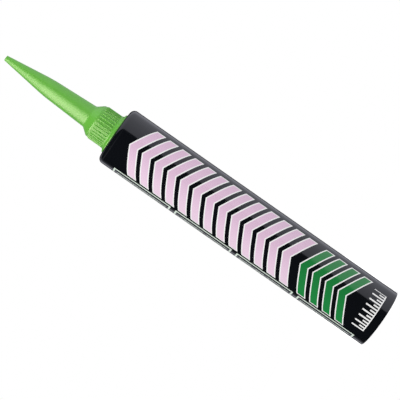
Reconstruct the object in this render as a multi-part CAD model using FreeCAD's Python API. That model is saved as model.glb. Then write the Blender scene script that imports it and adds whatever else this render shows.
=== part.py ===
import FreeCAD
import Part
import math
import os

# Construction adhesive cartridge for a skeleton gun: a one-piece tube with a threaded neck and a
# sealed nib, a piston, the paste between them, and a hollow screw-on nozzle.
# Millimetres. +Z is the long axis, from the open rear rim at z = 0 to the nozzle's tip.

# Tube
tube_outer_r = 25.0
tube_wall = 1.4
body_length = 257.0          # rear rim to the flat of the shoulder
shoulder_thickness = 1.8
shoulder_corner_r = 4.4
rim_edge_r = 0.4             # soft outer edge of the rear rim
lead_in_depth = 9.0          # the open end is a little wider, so that the piston enters
lead_in_relief = 0.2
lead_in_ramp = 1.2
lead_in_chamfer = 0.5

# Neck with its thread, and the nib that is cut off before use
neck_root_r = 11.0
neck_wall = 1.7
neck_height = 15.0           # above the shoulder
neck_edge_r = 0.6
neck_foot_r = 0.5
thread_pitch = 4.0
thread_depth = 1.25
thread_root_width = 2.1
thread_crest_width = 0.8
thread_bury = 0.4            # depth to which the ridge's root lies in the neck
thread_margin = 1.3          # plain neck left at each end of the thread
nib_base_r = 6.0
nib_tip_r = 3.8
nib_height = 17.0
nib_wall = 1.1
nib_edge_r = 0.9

# Nozzle: flange, ribbed skirt, conical step, then a gentle and a steep taper
thread_clearance = 0.25      # the skirt's bore clears the thread's crest
seat_clearance = 0.1         # flange above the shoulder
skirt_wall = 1.7
flange_width = 2.7           # beyond the plain ring under the ribs
flange_thickness = 1.3
flange_edge_r = 0.4
flange_slope = 0.3           # its top rises towards the skirt
flare_size = 1.45            # slope between the flange and the skirt
flare_height = 2.0
grip_height = 14.3           # ribbed length above the flare
ring_step = 0.15             # the ring stands this far outside the ribs
rib_count = 32
rib_depth = 0.8
rib_root_width = 1.3
rib_tip_width = 0.75
rib_edge_r = 0.2
rib_run_out = 1.5            # height over which a rib slopes back at its top
band_height = 1.2            # plain ring between the ribs and the cone
cone_height = 5.7
cone_edge_r = 1.0
spout_base_r = 9.65
spout_knee_r = 7.7
knee_length = 8.0            # soft stretch between the two tapers
spout_tip_r = 2.25
spout_lower_length = 40.4
spout_upper_length = 41.1
spout_wall = 1.35
orifice_r = 1.2
tip_edge_r = 0.35
skirt_mouth_chamfer = 0.6

# Piston
lip_clearance = 0.1          # to the tube's wall
piston_setback = 14.0        # rear edge in from the rim, in a full cartridge
piston_height = 22.0
lip_height = 1.6
lip_slope = 2.0
piston_waist_relief = 0.9
piston_wall = 1.3
piston_floor = 1.6
front_corner_excess = 0.2    # the front corner is cut back further than the tube's
cup_corner = 1.4
spigot_height = 2.2          # pushes the last paste out of the neck
spigot_clearance = 0.4
spigot_draft = 0.7
web_count = 8
web_thickness = 1.1
web_height = 5.0
hub_r = 9.0
web_sink = 0.2               # depth to which webs and hub run into the wall and the floor
piston_stop_gap = 0.5        # left between piston and shoulder at full travel

# Paste
paste_clearance = 0.1        # to the tube
paste_piston_clearance = 0.2

tube_inner_r = tube_outer_r - tube_wall
inner_corner = shoulder_corner_r - tube_wall
shoulder_inside = body_length - shoulder_thickness
lead_in_r = tube_inner_r + lead_in_relief
neck_inner_r = neck_root_r - neck_wall
neck_top = body_length + neck_height
neck_inside_top = neck_top - neck_wall
thread_crest_r = neck_root_r + thread_depth
nib_top = neck_top + nib_height

skirt_bore_r = thread_crest_r + thread_clearance
skirt_core_r = skirt_bore_r + skirt_wall
rib_tip_r = skirt_core_r + rib_depth
ring_r = rib_tip_r + ring_step
flange_r = ring_r + flange_width
nozzle_foot = body_length + seat_clearance
flange_top = nozzle_foot + flange_thickness
grip_foot = flange_top + flare_height
grip_top = grip_foot + grip_height
cone_foot = grip_top + band_height
cone_top = cone_foot + cone_height
knee_height = cone_top + spout_lower_length
tip_height = knee_height + spout_upper_length
knee_foot_r = spout_knee_r + (spout_base_r - spout_knee_r) * knee_length / 2 / spout_lower_length
knee_top_r = spout_knee_r - (spout_knee_r - spout_tip_r) * knee_length / 2 / spout_upper_length
bore_knee_r = (knee_foot_r + knee_top_r) / 2 - spout_wall

piston_lip_r = tube_inner_r - lip_clearance
piston_waist_r = piston_lip_r - piston_waist_relief
piston_cup_r = piston_waist_r - piston_wall
piston_front = piston_setback + piston_height
spigot_r = neck_inner_r - spigot_clearance
front_corner = inner_corner + front_corner_excess
piston_travel = shoulder_inside - piston_stop_gap - piston_front

chamfer_below = 1.5          # smaller roundings are made as plain chamfers
corner_room = 0.98           # share of a side that the breaks at its two ends may use

AXIS = FreeCAD.Vector(0, 0, 1)
ORIGIN = FreeCAD.Vector(0, 0, 0)


def broken_corner(before, here, after, rounding, back_share, ahead_share):
    """Start, end and edge of a rounded or chamfered corner, kept within its share of each side."""
    back = before - here
    ahead = after - here
    half_turn = back.getAngle(ahead) / 2
    room = min(back_share * back.Length, ahead_share * ahead.Length)
    setback = min(rounding / math.tan(half_turn), room)
    back.normalize()
    ahead.normalize()
    start = here + back * setback
    end = here + ahead * setback
    if rounding < chamfer_below:
        return start, end, Part.makeLine(start, end)
    radius = setback * math.tan(half_turn)
    inward = (back + ahead).normalize()
    middle = here + inward * (radius / math.sin(half_turn) - radius)
    return start, end, Part.Arc(start, middle, end).toShape()


def rounded_wire(corners):
    """Closed wire through (point, rounding) corners; a rounding of 0 leaves a corner sharp."""
    count = len(corners)
    starts, ends, breaks = [], [], []
    for i, (point, rounding) in enumerate(corners):
        start, end = point, point
        if rounding > 0:
            before, before_rounding = corners[i - 1]
            after, after_rounding = corners[(i + 1) % count]
            back_share = corner_room * rounding / (rounding + before_rounding)
            ahead_share = corner_room * rounding / (rounding + after_rounding)
            start, end, edge = broken_corner(before, point, after, rounding, back_share, ahead_share)
            breaks.append(edge)
        starts.append(start)
        ends.append(end)
    lines = [Part.makeLine(ends[i - 1], starts[i]) for i in range(count)]
    return Part.Wire(Part.__sortEdges__(lines + breaks))


def turned(profile):
    """Solid of revolution about Z from (radius, height, rounding) corners."""
    corners = [(FreeCAD.Vector(r, 0, z), rounding) for r, z, rounding in profile]
    return Part.Face(rounded_wire(corners)).revolve(ORIGIN, AXIS, 360)


def around(solid, count):
    """Copies of a solid, evenly spaced about Z."""
    copies = []
    for i in range(count):
        turned_copy = solid.copy()
        turned_copy.rotate(ORIGIN, AXIS, i * 360 / count)
        copies.append(turned_copy)
    return copies


def neck_thread():
    """Right-hand thread ridge, its root buried in the neck and both its ends run out in a cone."""
    foot = body_length + thread_margin + thread_root_width / 2
    length = neck_height - 2 * thread_margin - thread_root_width
    flank = (thread_root_width - thread_crest_width) / (2 * thread_depth)
    root_half = thread_root_width / 2 + thread_bury * flank
    crest_half = thread_crest_width / 2
    buried_r = neck_root_r - thread_bury
    section = [
        FreeCAD.Vector(buried_r, 0, foot - root_half),
        FreeCAD.Vector(thread_crest_r, 0, foot - crest_half),
        FreeCAD.Vector(thread_crest_r, 0, foot + crest_half),
        FreeCAD.Vector(buried_r, 0, foot + root_half),
    ]
    helix = Part.makeHelix(thread_pitch, length, neck_root_r)
    helix.translate(FreeCAD.Vector(0, 0, foot))
    ridge = Part.Wire(helix).makePipeShell([Part.makePolygon(section + section[:1])], True, True)
    run_out = skirt_bore_r - neck_root_r
    envelope = turned([
        (buried_r - thread_bury, foot, 0),
        (neck_root_r, foot, 0),
        (skirt_bore_r, foot + run_out, 0),
        (skirt_bore_r, foot + length - run_out, 0),
        (neck_root_r, foot + length, 0),
        (buried_r - thread_bury, foot + length, 0),
    ])
    return ridge.common(envelope)


def cartridge_tube():
    nib_inner_tip_r = nib_tip_r - nib_wall
    nib_inner_base_r = nib_base_r - nib_wall
    shell = turned([
        (lead_in_r + lead_in_chamfer, 0, 0),
        (tube_outer_r, 0, rim_edge_r),
        (tube_outer_r, body_length, shoulder_corner_r),
        (neck_root_r, body_length, neck_foot_r),
        (neck_root_r, neck_top, neck_edge_r),
        (nib_base_r, neck_top, neck_edge_r),
        (nib_tip_r, nib_top, nib_edge_r),
        (0, nib_top, 0),
        (0, nib_top - nib_wall, 0),
        (nib_inner_tip_r, nib_top - nib_wall, 0),
        (nib_inner_base_r, neck_inside_top, 0),
        (neck_inner_r, neck_inside_top, neck_edge_r),
        (neck_inner_r, shoulder_inside, neck_foot_r),
        (tube_inner_r - inner_corner, shoulder_inside, 0),
        (tube_inner_r, shoulder_inside - inner_corner, 0),
        (tube_inner_r, lead_in_depth + lead_in_ramp, 0),
        (lead_in_r, lead_in_depth, 0),
        (lead_in_r, lead_in_chamfer, 0),
    ])
    return shell.fuse(neck_thread()).removeSplitter()


def grip_rib():
    """One rib of the nozzle's grip, its foot in the ring and its top sloped back to the band."""
    root_r = (skirt_bore_r + skirt_core_r) / 2
    draft = (rib_root_width - rib_tip_width) / (2 * rib_depth)
    root_half = rib_tip_width / 2 + draft * (rib_tip_r - root_r)
    tip_half = rib_tip_width / 2
    foot = grip_foot - rib_edge_r
    section = rounded_wire([
        (FreeCAD.Vector(root_r, -root_half, foot), 0),
        (FreeCAD.Vector(rib_tip_r, -tip_half, foot), rib_edge_r),
        (FreeCAD.Vector(rib_tip_r, tip_half, foot), rib_edge_r),
        (FreeCAD.Vector(root_r, root_half, foot), 0),
    ])
    rib = Part.Face(section).extrude(AXIS * (grip_top + rib_run_out - foot))
    side = rib_root_width
    waste = Part.makePolygon([
        FreeCAD.Vector(skirt_core_r - rib_depth, -side, grip_top + rib_run_out),
        FreeCAD.Vector(rib_tip_r + rib_depth, -side, grip_top - 2 * rib_run_out),
        FreeCAD.Vector(rib_tip_r + rib_depth, -side, grip_top + rib_run_out),
        FreeCAD.Vector(skirt_core_r - rib_depth, -side, grip_top + rib_run_out),
    ])
    return rib.cut(Part.Face(waste).extrude(FreeCAD.Vector(0, 2 * side, 0)))


def nozzle():
    """Hollow nozzle: one moulding with a plain bore that clears the neck's thread."""
    bore_top = cone_foot - spout_wall
    shell = turned([
        (skirt_bore_r + skirt_mouth_chamfer, nozzle_foot, 0),
        (flange_r, nozzle_foot, flange_edge_r),
        (flange_r, flange_top, flange_edge_r),
        (ring_r, flange_top + flange_slope, flare_size),
        (ring_r, grip_foot, 0),
        (skirt_core_r, grip_foot, 0),
        (skirt_core_r, cone_foot, cone_edge_r),
        (spout_base_r, cone_top, cone_edge_r),
        (knee_foot_r, knee_height - knee_length / 2, 0),
        (knee_top_r, knee_height + knee_length / 2, 0),
        (spout_tip_r, tip_height, tip_edge_r),
        (orifice_r, tip_height, 0),
        (bore_knee_r, knee_height, 0),
        (spout_base_r - spout_wall, cone_top - spout_wall / 2, cone_edge_r),
        (skirt_bore_r, bore_top, cone_edge_r),
        (skirt_bore_r, nozzle_foot + skirt_mouth_chamfer, 0),
    ])
    return shell.fuse(around(grip_rib(), rib_count)).removeSplitter()


def piston():
    """Cup with two sealing lips, a spigot that enters the neck, and webs behind its floor."""
    rear = piston_setback
    floor_back = piston_front - piston_floor
    front_lip_foot = piston_front - front_corner - lip_height
    cup = turned([
        (piston_cup_r, rear, 0),
        (piston_lip_r, rear, rim_edge_r),
        (piston_lip_r, rear + lip_height, 0),
        (piston_waist_r, rear + lip_height + lip_slope, 0),
        (piston_waist_r, front_lip_foot - lip_slope, 0),
        (piston_lip_r, front_lip_foot, 0),
        (piston_lip_r, piston_front - front_corner, 0),
        (piston_lip_r - front_corner, piston_front, 0),
        (spigot_r, piston_front, 0),
        (spigot_r - spigot_draft, piston_front + spigot_height, rim_edge_r),
        (0, piston_front + spigot_height, 0),
        (0, floor_back + spigot_height, 0),
        (spigot_r - spigot_draft - piston_floor, floor_back + spigot_height, 0),
        (spigot_r - piston_floor, floor_back, 0),
        (piston_cup_r, floor_back, cup_corner),
    ])
    hub_inner_r = hub_r - web_thickness
    web_foot = floor_back - web_height
    web_top = floor_back + web_sink
    hub = turned([
        (hub_inner_r, web_foot, 0),
        (hub_r, web_foot, 0),
        (hub_r, web_top, 0),
        (hub_inner_r, web_top, 0),
    ])
    web_inner_r = (hub_inner_r + hub_r) / 2
    web = Part.makeBox(
        piston_cup_r + web_sink - web_inner_r, web_thickness, web_height + web_sink,
        FreeCAD.Vector(web_inner_r, -web_thickness / 2, web_foot))
    return cup.fuse([hub] + around(web, web_count)).removeSplitter()


def adhesive_fill():
    """The paste of a full cartridge, from the piston up into the neck and the nib."""
    gap = paste_clearance
    rear = piston_front + paste_piston_clearance
    wall_r = tube_inner_r - gap
    neck_r = neck_inner_r - gap
    return turned([
        (0, rear + spigot_height, 0),
        (spigot_r, rear + spigot_height, 0),
        (spigot_r + spigot_clearance / 2, rear, 0),
        (wall_r, rear, 0),
        (wall_r, shoulder_inside - gap - inner_corner, 0),
        (wall_r - inner_corner, shoulder_inside - gap, 0),
        (neck_r, shoulder_inside - gap, 0),
        (neck_r, neck_inside_top - gap, neck_edge_r),
        (nib_base_r - nib_wall - gap, neck_inside_top - gap, 0),
        (nib_tip_r - nib_wall - gap, nib_top - nib_wall - gap, 0),
        (0, nib_top - nib_wall - gap, 0),
    ])


def main():
    os.makedirs("parts", exist_ok=True)
    for build in (cartridge_tube, nozzle, piston, adhesive_fill):
        solid = build()
        print(f"{build.__name__}: {len(solid.Solids)} solid, valid {solid.isValid()}, {solid.Volume / 1000:.2f} ml")
        solid.exportStep(f"parts/{build.__name__}.step")
    print(f"piston travel {piston_travel:.1f}, overall height {tip_height:.1f}")


main()
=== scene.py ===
import math

import bmesh
import bpy
from mathutils import Euler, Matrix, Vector


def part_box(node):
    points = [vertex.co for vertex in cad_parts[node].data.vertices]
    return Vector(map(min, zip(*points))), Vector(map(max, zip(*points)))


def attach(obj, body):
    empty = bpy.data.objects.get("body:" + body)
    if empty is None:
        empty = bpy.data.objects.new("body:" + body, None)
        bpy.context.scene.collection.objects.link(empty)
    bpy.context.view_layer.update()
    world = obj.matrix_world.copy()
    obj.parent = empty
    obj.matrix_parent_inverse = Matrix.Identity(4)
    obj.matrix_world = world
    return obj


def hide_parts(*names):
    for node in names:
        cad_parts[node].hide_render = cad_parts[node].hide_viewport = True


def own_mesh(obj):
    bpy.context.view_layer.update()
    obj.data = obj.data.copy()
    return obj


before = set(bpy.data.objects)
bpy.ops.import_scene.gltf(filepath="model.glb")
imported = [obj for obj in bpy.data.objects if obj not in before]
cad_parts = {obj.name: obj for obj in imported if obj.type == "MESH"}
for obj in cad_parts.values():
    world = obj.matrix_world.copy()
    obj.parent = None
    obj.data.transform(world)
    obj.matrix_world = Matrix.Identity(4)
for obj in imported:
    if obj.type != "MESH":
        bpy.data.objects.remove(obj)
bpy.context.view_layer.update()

# Construction adhesive cartridge: a black tube that carries its own print, a green ribbed nozzle,
# and inside them the piston and the paste. Sizes are in millimetres unless a name says otherwise.
MM = 0.001
TOUCH = 0.002      # places nearer than this are the same place


def in_mm(node):
    """Largest radius, lowest height and highest height of a node of the frame."""
    low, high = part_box(node)
    return high[0] / MM, low[2] / MM, high[2] / MM


tube_r, rear_rim, nib_top = in_mm("cartridge_tube")
flange_r, nozzle_foot, tip_height = in_mm("nozzle")
lip_r, piston_rear, spigot_top = in_mm("piston")
paste_r, paste_rear, paste_top = in_mm("adhesive_fill")

# Tube, neck and nib
tube_wall = 1.4
inner_r = tube_r - tube_wall
lead_in_r = 23.8
lead_in_top = 9.0
shoulder = 257.0
shoulder_inside = 255.2
neck_r = 11.0
neck_bore_r = 9.3
neck_top = 272.0
neck_inside_top = 270.3
nib_base_r = 6.0
nib_tip_r = 3.8
nib_wall = 1.1

# Thread on the neck
thread_pitch = 4.0
thread_crest_r = 12.25
thread_crest_width = 0.8
thread_root_width = 2.54
thread_bury = 0.4
thread_foot = 259.35
thread_length = 10.3
thread_turns = 3

# Nozzle
bore_r = 12.5
core_r = 14.2
rib_tip_r = 15.0
ring_r = 15.15
rib_count = 32
columns_per_rib = 8
rib_columns = 3        # lines of points on a rib's tip
rib_edge = 0.3
nozzle_turn = 3.7      # degrees, where the screwed-on nozzle happens to stop
flange_top = 258.4
flare_foot = 258.7
grip_foot = 260.4
grip_top = 274.7
rib_run_out = 1.5
cone_foot = 275.9
cone_top = 281.6
spout_base_r = 9.65
spout_wall = 1.35
knee_height = 322.0
knee_r = 7.7
knee_bore_r = 6.18
knee_reach = 5.0
tip_r = 2.25
outlet_r = 1.2

# Piston
waist_r = 22.6
cup_r = 21.3
lip_height = 1.6
lip_slope = 2.0
piston_front = 36.0
piston_floor = 1.6
front_corner = 3.2
spigot_r = 8.9
spigot_draft = 0.7
hub_r = 9.0
web_count = 8
web_thickness = 1.1
web_height = 5.0
sink = 0.2             # webs and hub run this deep into the wall and the floor


# Modelling ------------------------------------------------------------------------------------

def start_piece(name):
    """Names the primitive that was just added, gives its place to its mesh and opens it for editing."""
    piece = bpy.context.object
    piece.name = piece.data.name = name
    bpy.ops.object.transform_apply(location=True, rotation=True, scale=True)
    bpy.ops.object.mode_set(mode="EDIT")
    bpy.ops.mesh.select_all(action="SELECT")
    return piece


def select_parts(piece, kind, wanted):
    """In edit mode, selects the vertices, edges or faces for which wanted(part) is true, and no others."""
    bpy.ops.mesh.select_mode(type=kind)
    bpy.ops.mesh.select_all(action="DESELECT")
    mesh = bmesh.from_edit_mesh(piece.data)
    parts = {"VERT": mesh.verts, "EDGE": mesh.edges, "FACE": mesh.faces}[kind]
    for part in parts:
        part.select_set(bool(wanted(part)))
    bmesh.update_edit_mesh(piece.data)


def radius_of(vertex):
    return math.hypot(vertex.co.x, vertex.co.y) / MM


def height_of(vertex):
    return vertex.co.z / MM


def on_ring(radius, height):
    """Test for an edge that lies on the ring of that radius and height."""
    def test(edge):
        return all(abs(radius_of(v) - radius) < TOUCH and abs(height_of(v) - height) < TOUCH
                   for v in edge.verts)
    return test


def turned(name, profile, sides):
    """Turned piece from (radius, height, reach, segments) corners of its section, in order.

    A circle is extruded and resized from corner to corner. A section that starts and ends on the
    axis is closed there by fans, and any other is joined up with its first ring. Each corner with
    a reach is then bevelled that far along both its sides.
    """
    rings = [corner for corner in profile if corner[0] > 0]
    on_axis = len(rings) < len(profile)
    radius, height = rings[0][:2]
    bpy.ops.object.select_all(action="DESELECT")
    bpy.ops.mesh.primitive_circle_add(vertices=sides, radius=radius * MM, location=(0, 0, height * MM))
    piece = start_piece(name)
    path = rings[1:] if on_axis else rings[1:] + rings[:1]
    for next_radius, next_height, *_ in path:
        rise = (0, 0, (next_height - height) * MM)
        bpy.ops.mesh.extrude_region_move(TRANSFORM_OT_translate={"value": rise})
        growth = next_radius / radius
        bpy.ops.transform.resize(value=(growth, growth, 1), center_override=(0, 0, next_height * MM))
        radius, height = next_radius, next_height
    bpy.ops.mesh.select_all(action="SELECT")
    bpy.ops.mesh.remove_doubles(threshold=TOUCH * MM)
    if on_axis:
        bpy.ops.mesh.select_mode(type="EDGE")
        bpy.ops.mesh.select_all(action="DESELECT")
        bpy.ops.mesh.select_non_manifold()
        bpy.ops.mesh.edge_face_add()
        select_parts(piece, "FACE", lambda face: len(face.verts) > 4)
        bpy.ops.mesh.poke()
    bpy.ops.mesh.select_all(action="SELECT")
    bpy.ops.mesh.normals_make_consistent(inside=False)
    for radius, height, reach, segments in profile:
        if reach > 0:
            select_parts(piece, "EDGE", on_ring(radius, height))
            bpy.ops.mesh.bevel(offset=reach * MM, segments=segments, profile=0.5, affect="EDGES",
                               clamp_overlap=False)
    bpy.ops.object.mode_set(mode="OBJECT")
    return piece


def make_active(piece):
    bpy.ops.object.select_all(action="DESELECT")
    piece.select_set(True)
    bpy.context.view_layer.objects.active = piece


def use_modifier(piece, kind, **settings):
    """Adds a modifier with its settings and applies it."""
    modifier = piece.modifiers.new(kind, kind)
    for key, value in settings.items():
        setattr(modifier, key, value)
    make_active(piece)
    bpy.ops.object.modifier_apply(modifier=modifier.name)


def combine(piece, other, operation):
    """Boolean of two closed pieces into the first, whose doubled points are merged. The second is
    used up."""
    use_modifier(piece, "BOOLEAN", operation=operation, object=other, solver="EXACT")
    bpy.data.objects.remove(other)
    bpy.ops.object.mode_set(mode="EDIT")
    bpy.ops.mesh.select_all(action="SELECT")
    bpy.ops.mesh.remove_doubles(threshold=TOUCH * MM)
    bpy.ops.mesh.normals_make_consistent(inside=False)
    bpy.ops.object.mode_set(mode="OBJECT")


def smooth(piece, sharp_angle=40):
    """Smooth shading with hard edges above an angle; broad faces keep their own normals."""
    make_active(piece)
    bpy.ops.object.shade_smooth_by_angle(angle=math.radians(sharp_angle))
    use_modifier(piece, "WEIGHTED_NORMAL", keep_sharp=True, weight=100)


def make_thread():
    """Right-hand ridge wound up the neck; a turned envelope cuts its two ends to a cone."""
    root_r = neck_r - thread_bury
    depth = thread_crest_r - root_r
    middle_r = (thread_crest_r + root_r) / 2
    bpy.ops.object.select_all(action="DESELECT")
    bpy.ops.mesh.primitive_plane_add(size=1, location=(0, 0, 0))
    thread = start_piece("thread")
    bpy.ops.transform.rotate(value=math.pi / 2, orient_axis="X", center_override=(0, 0, 0))
    bpy.ops.transform.resize(value=(depth * MM, 1, thread_root_width * MM), center_override=(0, 0, 0))
    bpy.ops.transform.translate(value=(middle_r * MM, 0, thread_foot * MM))
    select_parts(thread, "VERT", lambda vertex: radius_of(vertex) > middle_r)
    taper = thread_crest_width / thread_root_width
    bpy.ops.transform.resize(value=(1, 1, taper), center_override=(0, 0, thread_foot * MM))
    bpy.ops.mesh.select_all(action="SELECT")
    bpy.ops.mesh.delete(type="ONLY_FACE")
    bpy.ops.object.mode_set(mode="OBJECT")
    use_modifier(thread, "SCREW", axis="Z", angle=2 * math.pi, screw_offset=thread_pitch * MM,
                 iterations=thread_turns, steps=64, render_steps=64)
    bpy.ops.object.mode_set(mode="EDIT")
    bpy.ops.mesh.select_all(action="SELECT")
    bpy.ops.mesh.remove_doubles(threshold=TOUCH * MM)
    bpy.ops.mesh.fill_holes(sides=4)
    bpy.ops.mesh.normals_make_consistent(inside=False)
    bpy.ops.object.mode_set(mode="OBJECT")
    run_out = bore_r - neck_r
    end = thread_foot + thread_length
    envelope = turned("thread_envelope", [
        (root_r - thread_bury, thread_foot, 0, 0),
        (neck_r, thread_foot, 0, 0),
        (bore_r, thread_foot + run_out, 0, 0),
        (bore_r, end - run_out, 0, 0),
        (neck_r, end, 0, 0),
        (root_r - thread_bury, end, 0, 0),
    ], 96)
    combine(thread, envelope, "INTERSECT")
    return thread


def make_tube():
    """Body, shoulder, neck and closed nib as one wall, with the thread united with it."""
    nib_inner_r = nib_tip_r - nib_wall
    tube = turned("tube", [
        (0, nib_top, 0, 0),
        (nib_tip_r, nib_top, 0.9, 5),
        (nib_base_r, neck_top, 0.5, 4),
        (neck_r, neck_top, 0.6, 4),
        (neck_r, shoulder, 0.5, 4),
        (tube_r, shoulder, 4.4, 14),
        (tube_r, rear_rim, 0.4, 4),
        (lead_in_r + 0.5, rear_rim, 0.15, 2),
        (lead_in_r, rear_rim + 0.5, 0.15, 2),
        (lead_in_r, lead_in_top, 0, 0),
        (inner_r, lead_in_top + 1.2, 0, 0),
        (inner_r, shoulder_inside, 2.8, 6),
        (neck_bore_r, shoulder_inside, 0.4, 3),
        (neck_bore_r, neck_inside_top, 0.5, 3),
        (nib_base_r - nib_wall, neck_inside_top, 0, 0),
        (nib_inner_r, nib_top - nib_wall, 0.5, 3),
        (0, nib_top - nib_wall, 0, 0),
    ], 192)
    combine(tube, make_thread(), "UNION")
    smooth(tube)
    return tube


def make_nozzle():
    """Flange, grip, step and two tapers round an open bore, which is the second half of the list."""
    nozzle = turned("ribbed_nozzle", [
        (bore_r + 0.6, nozzle_foot, 0.15, 2),
        (flange_r, nozzle_foot, 0.1, 2),
        (flange_r, flange_top, 1.15, 8),
        (ring_r, flare_foot, 1.5, 8),
        (ring_r, grip_foot, 0, 0),
        (core_r, grip_foot + 0.6, 0, 0),
        (core_r, grip_top - rib_run_out, 0, 0),
        (core_r, grip_top, 0, 0),
        (core_r, cone_foot, 0.45, 5),
        (spout_base_r, cone_top, 0.8, 6),
        (knee_r, knee_height, knee_reach, 10),
        (tip_r, tip_height, 0.35, 4),
        (outlet_r, tip_height, 0.12, 2),
        (knee_bore_r, knee_height, knee_reach, 4),
        (spout_base_r - spout_wall, cone_top - spout_wall / 2, 0.8, 4),
        (bore_r, cone_foot - spout_wall, 1.0, 4),
        (bore_r, nozzle_foot + 0.6, 0, 0),
    ], rib_count * columns_per_rib)
    raise_ribs(nozzle)
    smooth(nozzle)
    return nozzle


def raise_ribs(nozzle):
    """Scales some columns of the grip out to the ribs' tips, softens the ribs' long edges, and turns
    the nozzle to where it stops."""
    column_angle = 2 * math.pi / (rib_count * columns_per_rib)
    low, high = grip_foot + 0.3, grip_top - rib_run_out

    def column_of(vertex):
        return round(math.atan2(vertex.co.y, vertex.co.x) / column_angle) % columns_per_rib

    def in_grip(vertex):
        return low < height_of(vertex) < high + TOUCH

    def on_rib(vertex):
        on_core = abs(radius_of(vertex) - core_r) < 0.01
        return on_core and in_grip(vertex) and column_of(vertex) < rib_columns

    def is_rib_edge(edge):
        columns = {column_of(vertex) for vertex in edge.verts}
        outside = all(radius_of(vertex) > core_r - 0.01 for vertex in edge.verts)
        heights = sorted(height_of(vertex) for vertex in edge.verts)
        on_tip = heights[0] > low and heights[1] < grip_top + TOUCH and heights[1] - heights[0] > 1
        return outside and on_tip and columns in ({0}, {rib_columns - 1})

    bpy.ops.object.mode_set(mode="EDIT")
    select_parts(nozzle, "VERT", on_rib)
    growth = rib_tip_r / core_r
    bpy.ops.transform.resize(value=(growth, growth, 1), center_override=(0, 0, grip_foot * MM))
    select_parts(nozzle, "EDGE", is_rib_edge)
    bpy.ops.mesh.bevel(offset=rib_edge * MM, segments=3, profile=0.5, affect="EDGES", clamp_overlap=True)
    bpy.ops.mesh.select_all(action="SELECT")
    bpy.ops.transform.rotate(value=math.radians(nozzle_turn), orient_axis="Z", center_override=(0, 0, 0))
    bpy.ops.object.mode_set(mode="OBJECT")


def make_piston():
    """Cup with two lips and a spigot. The hub and the webs behind its floor are united with it."""
    floor_back = piston_front - piston_floor
    front_lip_foot = piston_front - front_corner - lip_height
    piston = turned("piston_moulding", [
        (0, spigot_top, 0, 0),
        (spigot_r - spigot_draft, spigot_top, 0.4, 3),
        (spigot_r, piston_front, 0.3, 3),
        (lip_r - front_corner, piston_front, 0.5, 3),
        (lip_r, piston_front - front_corner, 0.5, 3),
        (lip_r, front_lip_foot, 0.2, 2),
        (waist_r, front_lip_foot - lip_slope, 0.4, 3),
        (waist_r, piston_rear + lip_height + lip_slope, 0.4, 3),
        (lip_r, piston_rear + lip_height, 0.2, 2),
        (lip_r, piston_rear, 0.4, 3),
        (cup_r, piston_rear, 0.25, 2),
        (cup_r, floor_back, 1.4, 5),
        (spigot_r - piston_floor, floor_back, 0.3, 3),
        (spigot_r - piston_floor - spigot_draft, spigot_top - piston_floor, 0.3, 3),
        (0, spigot_top - piston_floor, 0, 0),
    ], 128)
    hub_inner_r = hub_r - web_thickness
    web_foot = floor_back - web_height
    web_top = floor_back + sink
    hub = turned("hub", [
        (hub_r, web_foot, 0.25, 2),
        (hub_r, web_top, 0, 0),
        (hub_inner_r, web_top, 0, 0),
        (hub_inner_r, web_foot, 0.25, 2),
    ], 128)
    combine(piston, hub, "UNION")
    web_start = (hub_inner_r + hub_r) / 2
    web_end = cup_r + sink
    bpy.ops.object.select_all(action="DESELECT")
    bpy.ops.mesh.primitive_cube_add(
        size=1, location=((web_start + web_end) / 2 * MM, 0, (web_foot + web_top) / 2 * MM),
        scale=((web_end - web_start) * MM, web_thickness * MM, (web_top - web_foot) * MM))
    webs = start_piece("webs")
    select_parts(webs, "EDGE", lambda edge: all(height_of(v) < web_foot + TOUCH for v in edge.verts)
                 and abs(edge.verts[0].co.y - edge.verts[1].co.y) < TOUCH * MM)
    bpy.ops.mesh.bevel(offset=0.25 * MM, segments=2, profile=0.5, affect="EDGES")
    bpy.ops.mesh.select_all(action="SELECT")
    bpy.ops.mesh.spin(steps=web_count - 1, angle=2 * math.pi * (web_count - 1) / web_count, dupli=True,
                      center=(0, 0, 0), axis=(0, 0, 1))
    bpy.ops.object.mode_set(mode="OBJECT")
    combine(piston, webs, "UNION")
    smooth(piston)
    return piston


def make_paste():
    """Paste that fills the tube in front of the piston, up into the neck and the nib."""
    gap = tube_r - tube_wall - paste_r
    neck_fill_r = neck_bore_r - gap
    nib_fill_r = nib_base_r - nib_wall - gap
    ceiling = shoulder_inside - gap
    spigot_rise = spigot_top - piston_front
    paste = turned("paste", [
        (0, paste_top, 0, 0),
        (nib_tip_r - nib_wall - gap, paste_top, 0.4, 3),
        (nib_fill_r, neck_inside_top - gap, 0.3, 2),
        (neck_fill_r, neck_inside_top - gap, 0.5, 3),
        (neck_fill_r, ceiling, 0.4, 3),
        (paste_r, ceiling, 2.8, 6),
        (paste_r, paste_rear, 0.3, 2),
        (spigot_r + sink, paste_rear, 0.2, 2),
        (spigot_r, paste_rear + spigot_rise, 0.2, 2),
        (0, paste_rear + spigot_rise, 0, 0),
    ], 96)
    smooth(paste)
    return paste


# Shaders --------------------------------------------------------------------------------------

class Wire:
    """An output socket that Python's operators turn into Math nodes."""

    def __init__(self, node, output=0):
        self.tree = node.id_data
        self.socket = node.outputs[output]

    def math(self, operation, *values):
        inputs = dict(enumerate((self,) + values))
        return Wire(add_node(self.tree, "ShaderNodeMath", {"operation": operation}, inputs))

    def __add__(self, other):
        return self.math("ADD", other)

    def __sub__(self, other):
        return self.math("SUBTRACT", other)

    def __rsub__(self, other):
        return (self * -1).math("ADD", other)

    def __mul__(self, other):
        return self.math("MULTIPLY", other)

    def __truediv__(self, other):
        return self.math("DIVIDE", other)

    def __gt__(self, other):
        return self.math("GREATER_THAN", other)

    def __lt__(self, other):
        return self.math("LESS_THAN", other)

    def __mod__(self, other):
        return self.math("FLOORED_MODULO", other)

    def __abs__(self):
        return self.math("ABSOLUTE")

    __radd__ = __add__
    __rmul__ = __mul__


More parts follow.
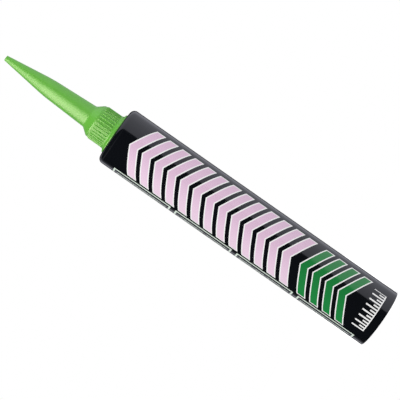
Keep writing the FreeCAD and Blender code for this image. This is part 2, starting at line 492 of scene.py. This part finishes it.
def add_node(tree, kind, settings=None, inputs=None):
    """New node: its settings are set first, then its sockets get values or links."""
    node = tree.nodes.new(kind)
    for key, value in (settings or {}).items():
        setattr(node, key, value)
    for key, value in (inputs or {}).items():
        if isinstance(value, Wire):
            tree.links.new(value.socket, node.inputs[key])
        else:
            node.inputs[key].default_value = value
    return node


def axes(tree, output):
    """The three parts of a Texture Coordinate output."""
    source = Wire(add_node(tree, "ShaderNodeTexCoord"), output)
    split = add_node(tree, "ShaderNodeSeparateXYZ", None, {0: source})
    return [Wire(split, part) for part in range(3)]


def between(value, low, high):
    return (value > low) * (value < high)


def held(value, low=0, high=1):
    """The value, held between two limits."""
    return value.math("MAXIMUM", low).math("MINIMUM", high)


def mixed(factor, base, top):
    """Colour that goes from base to top with the factor."""
    node = add_node(factor.tree, "ShaderNodeMix", {"data_type": "RGBA"}, {0: factor, 6: base, 7: top})
    return Wire(node, 2)


def colour(red, green, blue):
    """Linear colour from the 0 to 255 figures of a screen colour."""
    def linear(level):
        level /= 255
        return level / 12.92 if level <= 0.04045 else ((level + 0.055) / 1.055) ** 2.4
    return linear(red), linear(green), linear(blue), 1


def new_material(name, piece, **constants):
    """Material with one Principled shader whose constant sockets are given by name."""
    material = bpy.data.materials.new(name)
    material.use_nodes = True
    shader = material.node_tree.nodes["Principled BSDF"]
    for key, value in constants.items():
        shader.inputs[key.replace("_", " ")].default_value = value
    piece.data.materials.clear()
    piece.data.materials.append(material)
    return material.node_tree, shader


def connect(shader, **sockets):
    """Links a wire to each named socket."""
    for key, wire in sockets.items():
        wire.tree.links.new(wire.socket, shader.inputs[key.replace("_", " ")])


def noise(tree, grain_mm, detail=2.0):
    """Noise on the piece's own coordinates, with grains of about that many millimetres."""
    where = Wire(add_node(tree, "ShaderNodeTexCoord"), "Object")
    return Wire(add_node(tree, "ShaderNodeTexNoise", None, {
        "Vector": where, "Scale": 1 / (grain_mm * MM), "Detail": detail}))


def bump(height, distance_mm):
    """Normal from a height of 0 to 1 that stands for that many millimetres."""
    inputs = {"Height": height, "Distance": distance_mm * MM}
    return Wire(add_node(height.tree, "ShaderNodeBump", None, inputs))


# Print on the tube. Across is measured round the wall from the front's middle, to the right.
row_half = 24.7            # chevrons: half of the row's width
row_top = 242.6
chevron_pitch = 12.2
chevron_width = 8.4
chevron_slope = 0.5
pink_count = 13
green_count = 4
green_shift = 4.5
outline = 0.9
tick_low, tick_high = 7.3, 18.6      # a scale of plain ticks behind the chevrons
tick_left, tick_right = -16.1, 19.2
tick_pitch = 2.52
tick_width = 1.2
tick_base = 0.9
panel_top = 242.1                    # ruled panels from the left round to the back
panel_pitch = 59.1
panel_length = 54.4
panel_count = 4
panel_near, panel_far = 26.75, 76.8
panel_line = 1.4
rule_pitch = 2.6
rule_width = 0.9
dash_pitch = 3.1


def chevrons(along, across, top, count):
    """Masks of the whole chevrons and of their inside, for a row of them below a height."""
    down = top - along - abs(across) * chevron_slope
    step = down % chevron_pitch
    in_row = between(down, 0, count * chevron_pitch)
    edge = outline * math.hypot(1, chevron_slope)
    whole = in_row * (step < chevron_width) * (abs(across) < row_half)
    inside = in_row * between(step, edge, chevron_width - edge) * (abs(across) < row_half - outline)
    return whole, inside


def ticks(along, across):
    """Mask of a scale: ticks along the tube on a base line, every other one half as long."""
    count = (across - tick_left) / tick_pitch
    nearest = count.math("ROUND")
    stroke = abs(count - nearest) < tick_width / tick_pitch / 2
    short = nearest % 2
    top = tick_high - short * (tick_high - tick_low) * 0.5
    marks = stroke * (along > tick_low) * (top > along)
    base = between(along, tick_low, tick_low + tick_base)
    return marks.math("MAXIMUM", base) * between(across, tick_left - tick_width / 2, tick_right)


def panels(along, across):
    """Masks of the panels' outlines and of the broken rules inside them."""
    round_left = -1 * across
    down = panel_top - along
    step = down % panel_pitch
    in_run = between(down, 0, panel_count * panel_pitch)
    whole = in_run * (step < panel_length) * between(round_left, panel_near, panel_far)

    def inset(width):
        return (in_run * between(step, width, panel_length - width)
                * between(round_left, panel_near + width, panel_far - width))

    row = (round_left - panel_near) / rule_pitch
    cell = step / dash_pitch
    cell_place = add_node(along.tree, "ShaderNodeCombineXYZ", None, {
        0: row.math("FLOOR"), 1: cell.math("FLOOR"), 2: (down / panel_pitch).math("FLOOR")})
    chance = Wire(add_node(along.tree, "ShaderNodeTexWhiteNoise", None, {"Vector": Wire(cell_place)}))
    dash = between(cell % 1, 0.1, 1.05) * (chance > 0.16)
    rules = inset(3.6) * dash * ((row % 1) < rule_width / rule_pitch)
    return whole - inset(panel_line), rules


def paint_tube(tube):
    """Gloss black moulding with chevrons, ticks and ruled panels in slightly duller ink. The pink and green
    ink are painted lighter towards the left, as painted light from that side.
    """
    black, white = colour(14, 16, 20), colour(254, 254, 253)
    # The second pink and the second green are painted lighter copies of the ink, standing in for the light
    # on the left side
    pink, pink_painted_lighter = colour(229, 195, 221), colour(245, 218, 237)
    green, green_painted_lighter = colour(26, 128, 60), colour(34, 142, 70)
    pale = colour(232, 246, 232)
    tree, shader = new_material("printed_gloss_black", tube, IOR=1.5)
    x, y, z = axes(tree, "Object")
    along = z / MM
    across = x.math("ARCTAN2", y * -1) * tube_r
    on_wall = (x * x + y * y).math("SQRT") > (tube_r - 0.3) * MM
    pink_all, pink_inside = chevrons(along, across, row_top, pink_count)
    green_top = row_top - pink_count * chevron_pitch - green_shift
    green_all, green_inside = chevrons(along, across, green_top, green_count)
    panel_edges, rules = panels(along, across)
    white_ink = held(pink_all + green_all + ticks(along, across)) * on_wall
    pale_ink = held(panel_edges + rules) * on_wall
    base = mixed(white_ink, black, white)
    # Painted light: the pink and green ink are mixed towards their lighter copies across the left of the
    # front, as if lit from there
    painted_light_leftward = held(across / -row_half)
    base = mixed(pink_inside * on_wall, base, mixed(painted_light_leftward, pink, pink_painted_lighter))
    base = mixed(green_inside * on_wall, base, mixed(painted_light_leftward, green, green_painted_lighter))
    base = mixed(pale_ink, base, pale)
    ink = held(white_ink + pale_ink)
    fine = noise(tree, 0.5, 3.0)
    connect(shader, Base_Color=base, Roughness=0.08 + ink * 0.1 + fine * 0.05,
            Normal=bump(noise(tree, 11.0) + ink * 0.3 + fine * 0.06, 0.02))


def paint_nozzle(nozzle):
    """Satin green moulding, faintly mottled, with the fine grain of its mould."""
    tree, shader = new_material("green_polyethylene", nozzle, IOR=1.54)
    mottle = noise(tree, 9.0, 3.0)
    base = mixed(mottle, colour(96, 177, 53), colour(106, 186, 64))
    grain = noise(tree, 0.6, 2.0)
    connect(shader, Base_Color=base, Roughness=0.33 + grain * 0.08,
            Normal=bump(grain * 0.3 + noise(tree, 5.0) * 4, 0.003))


def paint_piston(piston):
    """Natural polyethylene: milky, waxy, with a soft cloudiness."""
    tree, shader = new_material("natural_polyethylene", piston, IOR=1.52)
    cloud = noise(tree, 7.0, 3.0)
    base = mixed(cloud, colour(222, 221, 212), colour(236, 235, 228))
    grain = noise(tree, 0.7, 2.0)
    connect(shader, Base_Color=base, Roughness=0.36 + grain * 0.14, Normal=bump(grain, 0.015))


def paint_paste(paste):
    """Thick pink paste with the streaks of its filling."""
    tree, shader = new_material("pink_paste", paste, IOR=1.48)
    streak = noise(tree, 4.0, 4.0)
    base = mixed(streak, colour(222, 168, 182), colour(238, 196, 205))
    connect(shader, Base_Color=base, Roughness=0.3 + streak * 0.2, Normal=bump(streak, 0.12))


# Studio ---------------------------------------------------------------------------------------

def add_camera():
    """Long lens, a little above the tube's middle, rolled so that the nozzle points up to the left."""
    data = bpy.data.cameras.new("camera")
    data.sensor_width = 36
    data.lens = 172.05
    distance = 1.524
    camera = bpy.data.objects.new("camera", data)
    bpy.context.collection.objects.link(camera)
    aim = Vector((-0.0042, 0, 0.1717))
    elevation = math.radians(0.9)
    view = Vector((0, math.cos(elevation), -math.sin(elevation)))
    roll = Euler((0, 0, math.radians(-55.07))).to_quaternion()
    camera.location = aim - distance * view
    camera.rotation_mode = "QUATERNION"
    camera.rotation_quaternion = view.to_track_quat("-Z", "Y") @ roll
    bpy.context.scene.camera = camera


fill_light = 0.59
side_light = 0.25          # added to the fill from the right
screen_edge = 35           # degrees right of the front at which the bright screen begins
sheen_side = -50           # degrees round from the front of the wide lamp on the left


def add_world():
    """White behind the object. In reflections there are a bright screen to the right, a dim one
    behind on the left, a dark gap between them straight behind, and a faint band above the tube on
    the left."""
    world = bpy.data.worlds.new("studio")
    bpy.context.scene.world = world
    world.use_nodes = True
    tree = world.node_tree
    rays = add_node(tree, "ShaderNodeLightPath")
    direct = Wire(rays, "Is Camera Ray") + Wire(rays, "Is Transmission Ray")
    glossy = Wire(rays, "Is Glossy Ray")
    x, y, z = axes(tree, "Generated")
    length = (x * x + y * y).math("SQRT")
    behind = held(y / length)

    def towards(degrees):
        """1 straight towards that place round the object, and -1 away from it."""
        angle = math.radians(degrees)
        return (x * math.sin(angle) - y * math.cos(angle)) / length

    past_edge = towards(screen_edge + 90)
    brightness = (1.22 - 1.12 * behind * behind).math("MAXIMUM", 0.95) * (0.8 + 0.2 * held(past_edge * 1.8))
    screen = held(past_edge * 24 + 0.5) * brightness
    dim_screen = held((behind - 0.55) * 4) * (x < 0) * held((0.4 - z) * 4) * 0.35
    gap = held((0.95 - behind) * 8)
    band = held((z - 0.09) * 16) * held((0.34 - z) * 10) * held(towards(sheen_side)) * 0.4
    reflected = (screen + dim_screen) * gap + band
    lit = fill_light + side_light * held(towards(90))
    background = tree.nodes["Background"]
    seen = mixed(glossy, (1, 1, 1, 1), (0.94, 0.95, 1.07, 1))
    indirect = glossy * reflected + (1 - glossy) * lit
    connect(background, Color=seen, Strength=direct + (1 - direct) * indirect)


def add_lamp(name, place_m, target_m, width_m, height_m, watts):
    """Soft lamp, aimed at its target, that lights surfaces but isn't reflected in them."""
    data = bpy.data.lights.new(name, "AREA")
    data.shape = "RECTANGLE"
    data.size, data.size_y = width_m, height_m
    data.energy = watts
    lamp = bpy.data.objects.new(name, data)
    bpy.context.collection.objects.link(lamp)
    lamp.location = place_m
    lamp.visible_glossy = False
    aim = Vector(target_m) - Vector(place_m)
    lamp.rotation_mode = "QUATERNION"
    lamp.rotation_quaternion = aim.to_track_quat("-Z", "Y")
    return lamp


def add_sheen_lamp(nozzle):
    """Wide lamp on the left that gives the nozzle its sheen. The tube is screened from it, and it
    adds no light but its reflection."""
    turn = math.radians(sheen_side)
    distance, height = 0.55, 0.417
    place = (distance * math.sin(turn), -distance * math.cos(turn), height)
    lamp = add_lamp("sheen", place, (0, 0, 0.32), width_m=1.3, height_m=0.25, watts=5.4)
    lamp.data.spread = math.radians(140)
    lamp.data.color = (1.0, 0.75, 0.76)
    lamp.visible_glossy = True
    lamp.visible_diffuse = False
    screened = bpy.data.collections.new("lit_by_the_sheen_lamp")
    screened.objects.link(nozzle)
    lamp.light_linking.receiver_collection = screened


def add_floor():
    """White disc under the rear rim that keeps the object's shadow. The gloss of the tube shows the
    world below it, so that the screen's reflection runs down to the rim."""
    bpy.ops.object.select_all(action="DESELECT")
    bpy.ops.mesh.primitive_circle_add(vertices=96, radius=0.30, fill_type="NGON",
                                      location=(0.12, 0.25, 0))
    floor = start_piece("floor")
    bpy.ops.object.mode_set(mode="OBJECT")
    tree, shader = new_material("white_floor", floor, Roughness=0.9)
    shader.inputs["Base Color"].default_value = (0.8, 0.8, 0.8, 1)
    shader.inputs["Emission Color"].default_value = (1, 1, 1, 1)
    rays = add_node(tree, "ShaderNodeLightPath")
    seen = Wire(rays, "Is Camera Ray") + Wire(rays, "Is Glossy Ray") + Wire(rays, "Is Transmission Ray")
    connect(shader, Emission_Strength=seen * 0.6)
    floor.visible_glossy = False


nozzle = make_nozzle()
tube = make_tube()
piston = make_piston()
paste = make_paste()
paint_nozzle(nozzle)
paint_tube(tube)
paint_piston(piston)
paint_paste(paste)

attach(tube, "cartridge")
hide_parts("cartridge_tube")
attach(nozzle, "nozzle")
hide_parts("nozzle")
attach(piston, "piston")
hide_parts("piston")
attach(paste, "cartridge")
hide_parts("adhesive_fill")
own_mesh(paste)

bpy.context.scene.view_settings.view_transform = "Standard"
add_camera()
add_world()
add_lamp("key", (-0.66, -0.78, 0.98), (0, 0, 0.2), width_m=0.9, height_m=0.9, watts=9.5)
add_sheen_lamp(nozzle)
add_floor()
